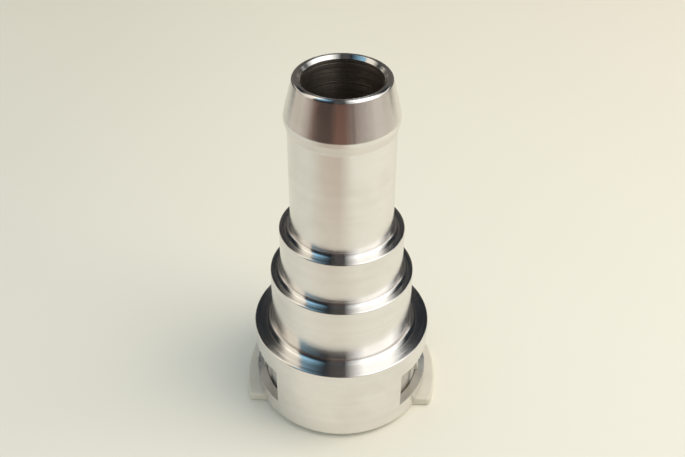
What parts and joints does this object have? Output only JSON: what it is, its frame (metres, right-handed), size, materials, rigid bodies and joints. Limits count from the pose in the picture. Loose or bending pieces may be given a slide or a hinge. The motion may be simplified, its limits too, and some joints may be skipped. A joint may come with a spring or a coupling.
{
  "type": "heater hose quick connector",
  "caption": "Turned metal heater hose connector: barbed hose end, stepped housings, and a windowed socket with O-ring seals and a moulded snap retainer with release ears.",
  "frame": {"origin": "on the connector's axis, in the plane that the retainer's flange stands on", "axes": "+Z along the connector's axis, from the socket's mouth to the tip of the hose barb; the two release ears point along +X and -X"},
  "size_m": [0.0386, 0.0342, 0.0704],
  "materials": {
    "body_metal": "fine turned, bright",
    "retainer_plastic": "natural moulded nylon",
    "seal_rubber": "smooth moulded rubber",
    "guide_plastic": "fine moulded"
  },
  "bodies": {
    "root": {"connector_body": "body_metal", "retainer": "retainer_plastic", "inner_o_ring": "seal_rubber", "outer_o_ring": "seal_rubber", "o_ring_spacer": "guide_plastic", "seal_bushing": "guide_plastic"}
  },
  "joints": []
}
